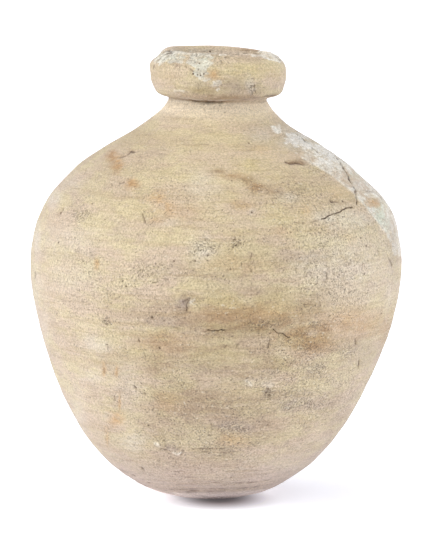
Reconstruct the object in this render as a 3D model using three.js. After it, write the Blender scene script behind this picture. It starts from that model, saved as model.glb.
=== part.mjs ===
// Ceramic milk jar: a hollow, wheel-thrown earthenware jar with a wide belly, a short neck and a
// thick rolled rim. Millimetres, +Z up. The origin is the centre of the flat underside, which
// stands on the ground, and -Y is the front. A bearing is an angle about the upright axis, in
// degrees, from the front towards +X, the jar's right.
import * as THREE from 'three';
import { mergeVertices } from 'three/addons/utils/BufferGeometryUtils.js';

// Outer body, from the underside up. Each rise is measured from the point before it.
const BASE_RADIUS = 34;
const LOWER_TURN_RADIUS = 85;
const LOWER_TURN_RISE = 26;
const BELLY_RADIUS = 166.2;
const BELLY_RISE = 175;
const SHOULDER_RADIUS = 126;
const SHOULDER_RISE = 94.5;
const NECK_RADIUS = 42.6;
const NECK_RISE = 62.5;

// Rolled rim, from the neck up and outwards
const RIM_HEIGHT = 42;
const RIM_OVERHANG = 18.4;
const RIM_LOWER_EDGE_RISE = 8;
const RIM_LOWER_EDGE_INSET = 3.4;
const RIM_WIDEST_RISE = 23;
const RIM_BEVEL_WIDTH = 12;
const RIM_BEVEL_DROP = 9.5;
const RIM_UPPER_EDGE_INSET = 4;
const RIM_LIP_WIDTH = 6;
const RIM_LIP_DROP = 6.5;

// Walls
const WALL = 9;
const NECK_WALL = 10;
const FLOOR_THICKNESS = 14;

// Headings of the profile, in degrees: 0 runs outwards, 90 runs up and 180 runs inwards
const BASE_HEADING = 14;
const LOWER_TURN_HEADING = 37.5;
const UPRIGHT = 90;
const SHOULDER_HEADING = 138.4;
const RIM_UNDERSIDE_HEADING = 26;
const RIM_LOWER_EDGE_HEADING = 60;
const RIM_UPPER_EDGE_HEADING = 132;
const INWARDS = 180;
const RIM_LIP_HEADING = 252;
const DOWNWARDS = 270;
const FLOOR_HEADING = 188;

// Fullness of the curves: how far each end of a curve holds its heading, as a share of its span
const PLAIN_REACH = 1 / 3;
const BELOW_BELLY_REACH = 0.155;
const ABOVE_BELLY_REACH = 0.54;
const BELOW_NECK_REACH = 0.16;

// How far the thrown form has strayed from true
const RIM_LEAN = 6.6;
const BELLY_SWING = 1.5;
const BELLY_SWING_HEIGHT = 160;
const BELLY_SWING_HALF_HEIGHT = 85;
const RIM_TILT = 2;
const RIM_TILT_START = 37;
const OVAL = 0.7;
const OVAL_BEARING = 40;

// Restored shoulder on the right, filled flatter than the thrown wall
const FILL_DEPTH = 5.2;
const FILL_BEARING = 82;
const FILL_HALF_WIDTH = 62;
const FILL_BELOW_SHOULDER = 38;
const FILL_BELOW_NECK = 9;
const FILL_FADE = 34;
const FILL_TOP_FADE = 16;

// Broken top edge of the rim on the left
const SCAR_DEPTH = 3.6;
const SCAR_BEARING = -82;
const SCAR_HALF_WIDTH = 34;
const SCAR_BELOW_CREST = 4;
const SCAR_HALF_HEIGHT = 8;

// Facets
const SECTORS = 64;
const ROWS = {
  lower: 5, lowerBelly: 12, upperBelly: 7, neck: 9,
  rimUnderside: 3, rimSide: 3, rimTop: 3, rimBevel: 3, rimLip: 3, throat: 4,
  innerShoulder: 5, innerBelly: 4, innerLower: 7, innerFloor: 2,
};

const lowerTurnHeight = LOWER_TURN_RISE;
const bellyHeight = lowerTurnHeight + BELLY_RISE;
const shoulderHeight = bellyHeight + SHOULDER_RISE;
const neckHeight = shoulderHeight + NECK_RISE;
const crestHeight = neckHeight + RIM_HEIGHT;
const rimRadius = NECK_RADIUS + RIM_OVERHANG;
const upperEdgeRadius = rimRadius - RIM_UPPER_EDGE_INSET;
const crestRadius = upperEdgeRadius - RIM_BEVEL_WIDTH;

// A direction in the profile's plane
function direction(heading) {
  const angle = THREE.MathUtils.degToRad(heading);
  return new THREE.Vector2(Math.cos(angle), Math.sin(angle));
}

// A point that the profile passes through, and its heading there
function key(radius, height, heading) {
  return { at: new THREE.Vector2(radius, height), heading };
}

// The point on the inside of the wall behind an outer point, heading back down
function inside(outer, wall) {
  const at = outer.at.clone().addScaledVector(direction(outer.heading + 90), wall);
  return { at, heading: outer.heading + 180 };
}

// The points of a smooth curve from one key to the next, without the first
function curve(from, to, rows, reachFrom = PLAIN_REACH, reachTo = PLAIN_REACH) {
  const span = from.at.distanceTo(to.at);
  const leave = from.at.clone().addScaledVector(direction(from.heading), span * reachFrom);
  const arrive = to.at.clone().addScaledVector(direction(to.heading), -span * reachTo);
  return new THREE.CubicBezierCurve(from.at, leave, arrive, to.at).getSpacedPoints(rows).slice(1);
}

// Radius and height of the whole wall: up the outside, over the rim and down the inside
function profile() {
  const base = key(BASE_RADIUS, 0, BASE_HEADING);
  const lowerTurn = key(LOWER_TURN_RADIUS, lowerTurnHeight, LOWER_TURN_HEADING);
  const belly = key(BELLY_RADIUS, bellyHeight, UPRIGHT);
  const shoulder = key(SHOULDER_RADIUS, shoulderHeight, SHOULDER_HEADING);
  const neck = key(NECK_RADIUS, neckHeight, UPRIGHT);

  const rimFoot = key(NECK_RADIUS, neckHeight, RIM_UNDERSIDE_HEADING);
  const lowerEdge = key(
    rimRadius - RIM_LOWER_EDGE_INSET, neckHeight + RIM_LOWER_EDGE_RISE, RIM_LOWER_EDGE_HEADING);
  const widest = key(rimRadius, neckHeight + RIM_WIDEST_RISE, UPRIGHT);
  const upperEdge = key(upperEdgeRadius, crestHeight - RIM_BEVEL_DROP, RIM_UPPER_EDGE_HEADING);
  const crest = key(crestRadius, crestHeight, INWARDS);
  const lip = key(crestRadius - RIM_LIP_WIDTH, crestHeight - RIM_LIP_DROP, RIM_LIP_HEADING);

  const throat = key(NECK_RADIUS - NECK_WALL, neckHeight, DOWNWARDS);
  const innerShoulder = inside(shoulder, WALL);
  const innerBelly = inside(belly, WALL);
  const innerLowerTurn = inside(lowerTurn, WALL);
  const floorEdge = key(BASE_RADIUS, FLOOR_THICKNESS, FLOOR_HEADING);

  return [
    new THREE.Vector2(0, 0),
    base.at,
    ...curve(base, lowerTurn, ROWS.lower),
    ...curve(lowerTurn, belly, ROWS.lowerBelly, PLAIN_REACH, BELOW_BELLY_REACH),
    ...curve(belly, shoulder, ROWS.upperBelly, ABOVE_BELLY_REACH, PLAIN_REACH),
    ...curve(shoulder, neck, ROWS.neck, PLAIN_REACH, BELOW_NECK_REACH),
    ...curve(rimFoot, lowerEdge, ROWS.rimUnderside),
    ...curve(lowerEdge, widest, ROWS.rimSide),
    ...curve(widest, upperEdge, ROWS.rimTop),
    ...curve(upperEdge, crest, ROWS.rimBevel),
    ...curve(crest, lip, ROWS.rimLip),
    ...curve(lip, throat, ROWS.throat),
    ...curve(throat, innerShoulder, ROWS.innerShoulder, BELOW_NECK_REACH, PLAIN_REACH),
    ...curve(innerShoulder, innerBelly, ROWS.innerBelly, PLAIN_REACH, ABOVE_BELLY_REACH),
    ...curve(innerBelly, innerLowerTurn, ROWS.innerLower, BELOW_BELLY_REACH, PLAIN_REACH),
    ...curve(innerLowerTurn, floorEdge, ROWS.innerFloor),
    new THREE.Vector2(0, FLOOR_THICKNESS),
  ];
}

// 1 at the middle, falling smoothly to 0 at the half width
function hump(offset, halfWidth) {
  return 1 - THREE.MathUtils.smoothstep(Math.abs(offset), 0, halfWidth);
}

// How far a bearing is from another, at most half a turn
function bearingFrom(bearing, middle) {
  return THREE.MathUtils.euclideanModulo(bearing - middle + 180, 360) - 180;
}

// How far the wall stands in from the thrown circle. The scar leaves the inside of the mouth whole.
function hollow(bearing, height, radius) {
  const fillBottom = shoulderHeight - FILL_BELOW_SHOULDER;
  const fillTop = neckHeight - FILL_BELOW_NECK;
  const filled = THREE.MathUtils.smoothstep(height, fillBottom, fillBottom + FILL_FADE)
    * (1 - THREE.MathUtils.smoothstep(height, fillTop - FILL_TOP_FADE, fillTop));
  const fill = FILL_DEPTH * filled * hump(bearingFrom(bearing, FILL_BEARING), FILL_HALF_WIDTH);

  const scarHeight = crestHeight - SCAR_BELOW_CREST;
  const scar = SCAR_DEPTH * hump(height - scarHeight, SCAR_HALF_HEIGHT)
    * hump(bearingFrom(bearing, SCAR_BEARING), SCAR_HALF_WIDTH)
    * THREE.MathUtils.smoothstep(radius, crestRadius - RIM_LIP_WIDTH, crestRadius);
  return fill + scar;
}

// Moves one point of the true thrown form to where it is on the jar as it stands
function stray(point) {
  const height = point.z;
  const radius = Math.hypot(point.x, point.y);
  if (radius > 0) {
    const bearing = THREE.MathUtils.radToDeg(Math.atan2(point.x, -point.y));
    const rise = THREE.MathUtils.smoothstep(height, 0, bellyHeight);
    const twice = THREE.MathUtils.degToRad(2 * bearingFrom(bearing, OVAL_BEARING));
    const strayed = radius + OVAL * rise * Math.cos(twice) - hollow(bearing, height, radius);
    point.x *= strayed / radius;
    point.y *= strayed / radius;
  }
  const tilt = Math.tan(THREE.MathUtils.degToRad(RIM_TILT))
    * THREE.MathUtils.smoothstep(height, neckHeight - RIM_TILT_START, crestHeight);
  point.z -= point.x * tilt;
  point.x += RIM_LEAN * height / crestHeight
    + BELLY_SWING * hump(height - BELLY_SWING_HEIGHT, BELLY_SWING_HALF_HEIGHT);
}

function earthenware() {
  const material = new THREE.MeshStandardMaterial({ color: 0xd5c0a1, roughness: 0.88, metalness: 0 });
  material.name = 'earthenware';
  return material;
}

function jar() {
  const lathe = new THREE.LatheGeometry(profile(), SECTORS);
  lathe.rotateX(Math.PI / 2);
  lathe.deleteAttribute('normal');
  lathe.deleteAttribute('uv');
  const geometry = mergeVertices(lathe);
  const position = geometry.getAttribute('position');
  const point = new THREE.Vector3();
  for (let index = 0; index < position.count; index++) {
    stray(point.fromBufferAttribute(position, index));
    position.setXYZ(index, point.x, point.y, point.z);
  }
  geometry.computeVertexNormals();
  const mesh = new THREE.Mesh(geometry, earthenware());
  mesh.name = 'jar';
  return mesh;
}

const model = new THREE.Group();
model.add(jar());

export default model;
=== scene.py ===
"""A ceramic milk jar: the fine relief and finish of its fired clay, with the floor, light and camera.

Metres, +Z up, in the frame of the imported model, with the front at -Y. Marks and stains are placed by
the pixel of the photograph where they show, counted from its top left corner, and cast on to the
jar. Relief is in millimetres. A bearing is in degrees, from the front towards the jar's right.
"""
import math
from collections import namedtuple
from types import SimpleNamespace

import bmesh
import bpy
import numpy as np
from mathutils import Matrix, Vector
from mathutils.bvhtree import BVHTree
from mathutils.kdtree import KDTree


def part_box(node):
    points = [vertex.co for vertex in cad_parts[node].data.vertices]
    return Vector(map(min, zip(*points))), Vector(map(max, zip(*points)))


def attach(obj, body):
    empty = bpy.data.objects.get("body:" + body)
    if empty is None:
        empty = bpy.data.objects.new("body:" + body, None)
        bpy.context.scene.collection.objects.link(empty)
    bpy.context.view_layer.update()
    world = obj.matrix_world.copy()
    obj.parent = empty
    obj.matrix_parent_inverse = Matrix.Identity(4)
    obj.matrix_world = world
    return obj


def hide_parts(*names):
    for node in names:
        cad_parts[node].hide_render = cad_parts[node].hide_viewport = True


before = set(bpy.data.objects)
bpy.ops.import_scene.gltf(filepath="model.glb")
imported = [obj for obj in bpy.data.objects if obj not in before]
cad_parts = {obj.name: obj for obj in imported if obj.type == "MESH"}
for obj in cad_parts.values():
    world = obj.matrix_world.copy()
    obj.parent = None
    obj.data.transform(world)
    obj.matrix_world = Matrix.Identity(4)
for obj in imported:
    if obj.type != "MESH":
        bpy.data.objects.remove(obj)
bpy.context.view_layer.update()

MM = 0.001

# The photograph's view
PHOTO_WIDTH = 432
PHOTO_HEIGHT = 540
EYE = Vector((0.0045, -3.70, 0.66))
AIM = Vector((0.0045, 0.0, 0.203))
FOCAL_LENGTH_MM = 277
SENSOR_HEIGHT_MM = 36
FORWARD = (AIM - EYE).normalized()
RIGHT = FORWARD.cross(Vector((0, 0, 1))).normalized()
UP = RIGHT.cross(FORWARD)
FOCAL_PIXELS = FOCAL_LENGTH_MM / SENSOR_HEIGHT_MM * PHOTO_HEIGHT

# The jar's own sizes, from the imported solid
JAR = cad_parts["jar"]
RIM_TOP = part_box("jar")[1][2]
RIM_FOOT = RIM_TOP - 43.5 * MM
RIM_SLOPE = 2 / 60
NECK = 343 * MM
TOE = 10 * MM

# The inside stays coarse below the mouth, where faces look inwards or up from the floor
MOUTH_DEPTH_SEEN = 26 * MM
INNER_FLOOR_TOP = 56 * MM
LOOKS_UP = 0.3
LOOKS_INWARDS = -0.2

# Cracks, as lines of pixels: hair-thin, deep and dark
CRACKS = [
    [(336, 155.5), (341.5, 163), (345, 170), (348.5, 174.5), (350.5, 180.5), (354.5, 186),
     (356.3, 190), (356.5, 195), (357, 200.5), (356.8, 204.5)],
    [(352.5, 207), (346.5, 208), (341, 211), (333.5, 213.5), (328, 216.5), (322.5, 219)],
    [(293, 132), (302, 137), (308, 142.5)],
    [(312.5, 147), (318, 152.5)],
    [(208, 330.6), (217, 330.6), (225, 330.3)],
    [(274, 330), (278, 333), (285, 335), (288, 337.5)],
]

# Scratches and root marks: shallow lines
SCRATCHES = [
    [(223, 148.4), (226, 149.2), (229, 148.6)], [(84, 173.8), (86, 170.6)],
    [(99, 259.6), (97.4, 263), (95.6, 267)], [(62.6, 208), (60, 212)],
    [(366.5, 191), (371, 191.2), (377, 192.5), (383, 198.5)], [(386.5, 254), (389, 259), (392, 265)],
    [(378, 250), (378.6, 253.6)], [(194.5, 330), (198, 332), (204, 332), (208, 330.6)],
    [(225, 330.3), (233, 328.7)], [(256, 329.6), (268, 329.4), (274, 330)],
    [(241, 50.8), (248, 50.4), (256, 51), (263, 50.6)], [(243, 53.4), (252, 53.2), (260, 54)],
    [(272, 54.4), (277, 58), (280, 60.4)], [(196, 481.6), (212, 482.8), (230, 483.4)],
    [(258, 482.2), (270, 480)], [(172, 490.6), (186, 491.6), (200, 491)], [(205, 491.6), (222, 491.8)],
    [(190, 495.4), (206, 496.6)], [(229, 471.4), (236, 471)], [(182, 477), (196, 478)],
    [(120, 470), (134, 476)], [(311, 274), (308.6, 278)], [(366, 246), (370, 248)],
    [(169, 49.5), (163, 52.5), (156.5, 58.5)], [(167, 53.6), (162, 56.6), (157.6, 61.6)],
    [(171.4, 54), (166, 57.6)], [(163.6, 60), (160, 62.6)], [(322.5, 219), (316, 220.5), (310, 223)],
    [(305, 223), (296, 222.5)], [(196, 332), (203, 335.5), (209, 336)],
    [(158, 325.8), (170, 326.5), (181, 328.8)], [(142, 322), (152, 322.6)],
    [(250, 251), (252, 254), (250, 260)],
    [(254, 260), (252.5, 263), (248, 266.5), (251.5, 270), (253, 274)],
    [(363, 264), (362.4, 270), (363, 276)], [(349, 292), (356, 290)],
    [(306, 295), (314, 294.6), (322, 295)], [(309, 272), (306, 276)],
    [(304, 305), (310, 304.4), (316, 304.8)], [(143.5, 351), (145.6, 357)], [(104, 368), (104.5, 373)],
    [(116.6, 369.5), (117, 374)], [(118.5, 389), (121, 397)], [(114.4, 395.5), (115, 399.5)],
    [(120, 401), (119.4, 410)], [(190, 449), (212, 448.6), (232, 449.2)],
    [(190, 452.5), (214, 452.2), (234, 453)], [(200, 455.4), (228, 455.6)], [(352, 388), (350.5, 391)],
    [(316, 345), (316, 352)], [(211.5, 424), (211.5, 431)], [(236, 232.4), (246, 231.8), (258, 231.2)],
    [(222, 101.8), (235, 100.6), (250, 99.4), (262, 98)], [(230, 483.4), (246, 483.2), (258, 482.2)],
    [(172, 489.8), (190, 489.4), (215, 489), (238, 489.2), (256, 487)], [(183, 492.8), (196, 493.2)],
    [(176, 64.4), (184, 65.6), (190, 68.4), (193.6, 72)], [(236, 471), (248, 470.4), (262, 470.8)],
]

# Gouges: deep, short and dark
GOUGES = [
    [(286, 161.8), (290, 163.5), (296, 162.6), (302, 164.2)], [(331, 201.4), (338, 201.6)],
    [(119.6, 183), (123.6, 182.2)], [(153, 282.6), (157.4, 282)], [(327, 273), (327, 278)],
    [(355.6, 339.5), (356.1, 343.6)], [(359.3, 361), (359, 366)], [(269.6, 341), (268, 348)],
    [(224, 348), (227, 345.6)], [(236.6, 347.6), (238, 344.4)], [(34.8, 273), (34.5, 277)],
    [(134, 386), (136, 388)], [(190, 298.5), (188.4, 301.6), (186, 304.8), (187, 308.6), (186, 311)],
    [(161, 449), (167, 450.6)], [(181, 455), (183.2, 450.6)], [(153.5, 66.4), (152.9, 67.6)],
    [(168, 50.4), (171.6, 51.4)], [(167.4, 52.6), (171.2, 52.8)],
    [(192, 101.2), (200, 102), (210, 102.6), (222, 102.6)], [(264.5, 96.9), (273.5, 96.6)],
    [(138.6, 340.2), (139.4, 341.6)], [(125.2, 349), (126, 349.6)], [(142, 468.4), (142.8, 469.2)],
    [(179, 443), (180, 444)], [(163.6, 440.6), (165, 442)], [(144.2, 393), (145, 394.2)],
    [(142.4, 213.6), (143.6, 218), (145, 222)], [(60.4, 213), (62.6, 209)],
    [(128, 154), (130.6, 151.2), (134.4, 152)], [(120, 157), (124.6, 156)],
    [(182.6, 302.6), (186, 300), (189.4, 297.8)],
]

# Ridges beside the flakes, the plaster's edge and the lowest turn of the rim, raised and painted
# lighter as highlights
LIPS = [
    [(263, 52.4), (270, 55.6), (276, 60)],
    [(270, 53), (276, 56.4), (281, 60.6)],
    [(160, 64), (170, 58.4), (174, 55)],
    [(165.5, 53.6), (160, 57.6), (156.5, 61.6)],
    [(168.6, 55), (164, 58.6)],
    [(191.6, 301), (190.4, 303)],
    [(173, 452.4), (177, 454), (181, 452.8)],
    [(155, 443.4), (158, 444)],
    [(303, 158.5), (320, 168), (335, 177.4), (345, 186), (355, 194), (358, 199), (366, 207),
     (374, 218), (384, 230)],
    [(176, 52.8), (188, 54.6), (196, 53.4), (216, 53.8)],
    [(175, 90.8), (184, 90.8)],
    [(194, 99.4), (203, 100.4)],
    [(209, 101), (222, 101)],
    [(246, 381), (250, 382), (251, 385)],
]

# Pits, each at one pixel
PITS = [
    (343, 201.3), (251.7, 212.2), (60.3, 212), (79.7, 216.3), (82, 213), (104.6, 219.3), (230.5, 269),
    (205, 240), (201.5, 247), (200.5, 250.6), (211.3, 246.8), (234.6, 239.5), (235.6, 245.6), (233, 247.4),
    (207.5, 255.4), (195, 261), (173.8, 261), (320.7, 305.5), (268, 378.3), (226, 367.5), (206, 373.6),
    (184.6, 318), (151.4, 318), (164, 320.6), (106.6, 344.6), (108, 415.2), (148.5, 425.6), (165.4, 444.6),
    (149, 483), (194.2, 481.3), (231.2, 478), (250.3, 443), (268, 425), (268.5, 389.5), (266.5, 393),
    (269.5, 396), (193, 73.8), (197.6, 75), (200.6, 75.6), (204, 74), (222, 62), (226, 57), (195, 62.3),
    (199.8, 63.5), (205, 66.6), (198.5, 69.2), (186.2, 66.8), (176.5, 65.6), (179.6, 66.6), (228, 57.5),
    (210, 51.5), (168.5, 51), (170.6, 52.4), (159.5, 348), (107, 323.5), (104.6, 321.4), (89.6, 284.8),
    (58, 242.4), (361, 238), (251, 271), (122.4, 281), (126, 286.4), (91.5, 203.6), (103, 235.2),
    (249, 143),
]

# Flakes off the surface: middle, half width and half height in pixels, and depth in millimetres
FLAKES = [
    (183.5, 304.5, 8, 7, 1.3),
    (173, 447, 10, 6, 1.1),
    (268, 392, 4, 5, 0.8),
    (231, 346.5, 9, 4, 0.6),
    (312, 325, 6, 4, 0.5),
    (97, 264, 3.5, 6, 0.6),
]

# Stains and tints, with the painted shade and painted light among them noted below: middle, half
# width and half height in pixels, and strength
# Brown stains; along the foot of the rim the brown is painted shade under its overhang
BROWN = [
    (132, 183.5, 7, 4, 0.5), (160, 218, 12, 3, 0.25), (243, 206, 10, 4, 0.4), (295, 163, 10, 2.2, 1.6),
    (310, 309, 15, 9, 0.4), (192, 299, 8, 7, 0.4), (240, 329, 30, 6, 0.5), (112, 157, 6, 8, 0.5),
    (118, 166, 6, 6, 0.4), (385, 330, 10, 16, 0.3), (247, 52, 15, 4, 0.7), (205, 49, 46, 2.4, 0.1),
    (300, 320, 10, 6, 0.5), (320, 315, 9, 6, 0.5), (232, 318, 40, 8, 0.5), (218, 171.5, 11, 3, 0.85),
    (232, 175.5, 12, 2.5, 0.5), (250, 180, 8, 4, 0.75), (257, 187.5, 11, 5, 0.6), (270, 190, 10, 3, 0.7),
    (278, 194, 8, 4, 0.3), (246, 311, 20, 8, 0.55), (212, 316, 26, 9, 0.5), (262, 323, 26, 6, 0.85),
    (302, 333, 16, 9, 0.85), (311, 345, 16, 8, 0.85), (324, 331, 10, 13, 0.75), (285, 322, 14, 6, 0.7),
    (346, 326, 14, 6, 0.4), (300, 160, 12, 3, 0.5), (295, 151, 8, 6, 0.35), (190, 398, 34, 9, 0.35),
    (212, 491, 8, 3, 0.7), (350, 200, 10, 4, 0.35), (160, 345, 22, 10, 0.3), (232, 97.5, 34, 4, 0.75),
]
ORANGE = [
    (352, 322, 44, 15, 0.6), (170, 212, 34, 8, 0.35), (225, 265, 40, 10, 0.3), (113, 157, 6, 6, 1.3),
    (118, 164, 6, 7, 1.4), (132, 183.5, 8, 5, 1.5), (158, 200, 9, 6, 1), (170, 208, 9, 7, 0.8),
    (160, 219, 11, 3, 0.9), (214, 74, 6, 6, 0.8), (262, 150, 8, 5, 0.35), (282, 231, 9, 4, 0.5),
    (243, 206, 9, 5, 0.5), (232, 440, 13, 5, 0.6), (97, 265, 3, 6, 1.1), (342, 190, 13, 10, 0.35),
    (384, 328, 10, 12, 0.4), (257, 187, 9, 4, 0.9), (232, 175, 15, 3, 0.6), (311, 337, 24, 15, 0.8),
    (245, 314, 54, 9, 0.6), (168, 402, 14, 10, 0.4), (117, 419, 9, 7, 1.1), (104, 371, 1.6, 6, 1.3),
    (116.6, 371, 1.3, 5, 1.4), (119.6, 403, 1.4, 8, 1.3), (107, 437, 1.5, 9, 0.9), (165, 343, 26, 10, 0.4),
    (306, 211, 6, 5, 0.4), (362, 209, 7, 6, 0.4), (390, 228, 3, 14, 0.5), (374, 203, 7, 5, 1),
    (350, 238, 9, 3, 0.6), (208, 101.6, 20, 1.8, 0.9),
]
YELLOW = [
    (250, 172, 100, 44, 0.45), (320, 215, 60, 34, 0.6), (150, 190, 50, 40, 0.25), (245, 70, 42, 9, 0.9),
    (162, 74, 14, 9, 0.5), (225, 301, 36, 5, 0.8), (300, 232, 12, 16, 0.5), (278, 300, 34, 12, 0.35),
    (230, 305, 22, 7, 1.2), (195, 306, 8, 6, 1), (268, 158, 11, 7, 0.9), (251, 165, 20, 9, 1.1),
    (301, 210, 5, 4, 1.4), (347, 238, 10, 3, 1.4), (281, 200, 6, 4, 1), (300, 229, 24, 4, 0.9),
    (240, 231, 30, 3, 0.7), (250, 179, 8, 4, 0.9), (242, 207, 9, 4, 0.9), (135, 352, 13, 13, 0.4),
    (60, 272, 26, 16, 0.35), (345, 300, 46, 16, 0.35), (230, 118, 50, 16, 0.35), (170, 235, 20, 8, 0.3),
    (240, 390, 30, 6, 0.5), (185, 290, 14, 10, 0.5),
]
# Greyer clay; low on the belly, by the foot and under the rim the grey is painted shade
GREY = [
    (215, 435, 96, 60, 0.35), (358, 352, 20, 18, 0.6), (92, 182, 40, 20, 0.2), (243, 89, 24, 8, 0.8),
    (165, 322, 24, 5, 0.7), (182, 304, 7, 5, 1.5), (215, 492, 9, 2.5, 1.2), (150, 470, 50, 16, 0.5),
    (172, 270, 26, 10, 0.4), (216, 273, 24, 7, 0.4), (302, 258, 30, 5, 0.6), (356, 353, 16, 14, 0.5),
    (270, 373, 14, 8, 0.5), (308, 400, 36, 13, 0.4), (236, 426, 26, 8, 1), (288, 406, 12, 9, 0.8),
    (190, 425, 22, 7, 0.4), (68, 255, 28, 4, 0.5), (260, 136, 12, 8, 0.4), (158, 151, 10, 9, 0.35),
    (312, 368, 18, 9, 0.4), (122, 458, 20, 7, 0.4), (172, 447, 8, 5, 1.1), (192, 54, 26, 4.5, 0.35),
    (176, 62, 10, 3, 0.5), (191, 63, 8, 4, 0.5), (203, 70, 10, 7, 0.4), (353, 184, 14, 6, 0.5),
    (393, 238, 6, 22, 0.6), (200, 84, 8, 4, 0.6), (215, 486, 44, 6, 0.5), (268, 392, 5, 5, 0.7),
    (256, 292, 16, 4, 0.4), (120, 228, 8, 8, 0.35), (200, 366, 40, 8, 0.3), (260, 186, 10, 5, 0.3),
]
# Paler clay; along the silhouettes the pale is a painted sheen, and under the rim painted light
PALE = [
    (352, 262, 44, 44, 0.5), (285, 470, 40, 16, 0.35), (330, 395, 26, 40, 0.1), (128, 385, 14, 30, 0.3),
    (308, 141, 30, 10, 1), (290, 130, 14, 7, 0.7), (330, 156, 20, 9, 0.9), (355, 180, 18, 12, 0.5),
    (330, 285, 34, 26, 0.3), (36, 290, 6, 34, 0.4), (44, 330, 6, 34, 0.3), (78, 420, 9, 30, 0.4),
    (96, 345, 15, 10, 0.6), (92, 377, 13, 7, 0.5), (202, 184, 16, 14, 0.5), (134, 442, 13, 10, 0.6),
    (70, 240, 34, 16, 0.4), (52, 198, 8, 10, 0.8), (37, 238, 4, 18, 0.8), (329, 218, 17, 8, 0.9),
    (288, 197, 10, 5, 0.6), (364, 216, 7, 5, 0.7), (389, 294, 4, 13, 0.5), (251.7, 212.2, 3, 3, 0.7),
    (135, 388, 9, 8, 0.35), (322, 240, 22, 8, 0.35), (108, 416, 5, 3, 0.6), (250, 382, 6, 4, 0.4),
    (268, 385, 8, 2, 0.7), (190, 303, 2, 4, 0.5), (72, 184, 12, 8, 0.4), (313, 333, 6, 4, 0.5),
    (206, 238, 5, 6, 0.4), (250, 86, 4, 9, 0.6), (201, 252, 14, 12, 0.6), (320, 268, 26, 20, 0.5),
    (337, 226, 13, 8, 0.5), (263, 136, 12, 7, 0.5), (207, 51, 30, 3, 0.9), (70, 278, 30, 16, 0.4),
    (352, 218, 28, 12, 0.8), (168, 222, 12, 4, 0.5), (182, 100.5, 12, 2, 1.2),
]
GREEN = [
    (207, 59.5, 10, 3, 0.9), (200, 66, 20, 12, 0.6), (172, 58, 20, 7, 0.5), (355, 175, 6, 5, 0.8),
    (380, 214, 7, 14, 1), (387, 226, 4, 9, 0.8), (368, 205, 8, 5, 0.5), (45, 205, 7, 12, 0.6),
    (36, 235, 4, 18, 0.6), (182, 58, 7, 4, 0.4),
]
# Painted shade, partly darker clay too: the clay darkened where less light falls, across the middle and
# low on the belly, under the rim and near the foot
SHADE = [
    (309, 303, 26, 16, 1), (266, 297, 48, 9, 0.85), (163, 368, 38, 12, 0.9), (227, 426, 16, 9, 1.2),
    (250, 165, 20, 9, 0.35), (156, 433, 18, 13, 0.8), (328, 406, 20, 26, 0.6), (182, 478, 24, 8, 1.3),
    (174, 490, 18, 5, 0.8), (243, 375, 20, 9, 0.8), (128, 367, 20, 12, 0.5), (303, 419, 20, 9, 0.7),
    (203, 90.5, 17, 5, 0.9), (113, 302, 11, 9, 0.4), (108, 337, 13, 7, 0.4), (228, 306, 30, 9, 1.45),
    (273, 366, 30, 11, 0.95), (185, 117, 32, 7, 0.6), (394, 258, 4, 20, 0.5), (243, 58, 12, 4, 0.4),
    (235, 318, 86, 22, 1.1), (300, 336, 42, 18, 0.9), (205, 352, 96, 30, 0.8), (200, 405, 80, 38, 0.85),
    (245, 425, 60, 28, 0.8), (245, 272, 76, 34, 0.45), (205, 200, 130, 50, 0.15), (235, 130, 80, 26, 0.22),
    (296, 385, 46, 40, 0.35), (150, 312, 44, 16, 0.5), (290, 185, 60, 28, 0.4), (340, 345, 46, 44, 0.35),
    (125, 160, 46, 26, 0.3), (208, 465, 84, 34, 0.6), (215, 490, 60, 12, 0.35), (242, 88, 26, 9, 0.5),
]
STAINS = dict(
    brown=BROWN, orange=ORANGE, yellow=YELLOW, grey=GREY, pale=PALE, green=GREEN, shade=SHADE)

# Rough, grainy clay, given by spots in the same way
ROUGH = [
    (330, 235, 60, 50, 0.35), (330, 285, 50, 40, 0.35), (205, 430, 80, 50, 0.3), (300, 380, 50, 60, 0.4),
    (300, 197, 34, 18, 0.4), (330, 165, 32, 18, 0.45), (370, 205, 14, 22, 0.3), (300, 140, 22, 12, 0.45),
    (312, 285, 22, 12, 0.5), (105, 290, 60, 50, 0.2), (60, 300, 30, 60, 0.12), (336, 202, 8, 4, 0.4),
    (294, 194, 7, 7, 0.8), (322, 245, 6, 8, 0.8), (150, 278, 34, 14, 0.45), (175, 395, 50, 40, 0.25),
    (205, 57, 60, 6, 0.5), (205, 246, 16, 9, 0.6), (238, 243, 8, 6, 0.8), (313, 324, 7, 5, 1),
    (303, 348, 10, 9, 0.8), (315, 370, 14, 7, 0.8), (306, 403, 28, 10, 0.6), (232, 427, 17, 6, 0.9),
    (288, 407, 8, 8, 0.9), (135, 268, 16, 9, 0.5), (82, 213, 14, 12, 0.6), (106, 323, 4, 4, 0.9),
    (268, 392, 5, 6, 1), (264, 324, 16, 4, 0.9), (258, 188, 8, 5, 0.8), (300, 195, 12, 7, 0.6),
    (252, 87.5, 5, 10, 0.8), (347, 352, 12, 10, 0.5), (162, 200, 40, 30, 0.2), (205, 445, 8, 8, 0.5),
    (295, 380, 12, 8, 0.6), (380, 245, 12, 10, 0.4),
]

# Plaster on the rim and beside the restored shoulder
PLASTER = [
    (172, 58, 21, 7.5, 1), (200, 60, 17, 11, 0.9), (200, 72, 9, 5, 0.8), (206, 80, 9, 3.4, 0.65),
    (214, 84, 7, 4, 0.8), (218, 89.5, 2.4, 2.6, 1), (264, 54, 15, 5, 1), (276, 58, 8, 6, 1),
    (277, 129, 6, 5, 1), (283, 137, 4, 2.5, 0.5), (296, 138, 12, 6, 1.3), (222, 54.5, 14, 2.2, 0.6),
    (272, 56.5, 13, 5, 1.3), (163, 60, 12, 5, 0.9), (179, 60, 8, 5, 1), (203, 64, 14, 7, 0.95),
    (338, 168, 7, 3, 0.8),
]

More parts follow.
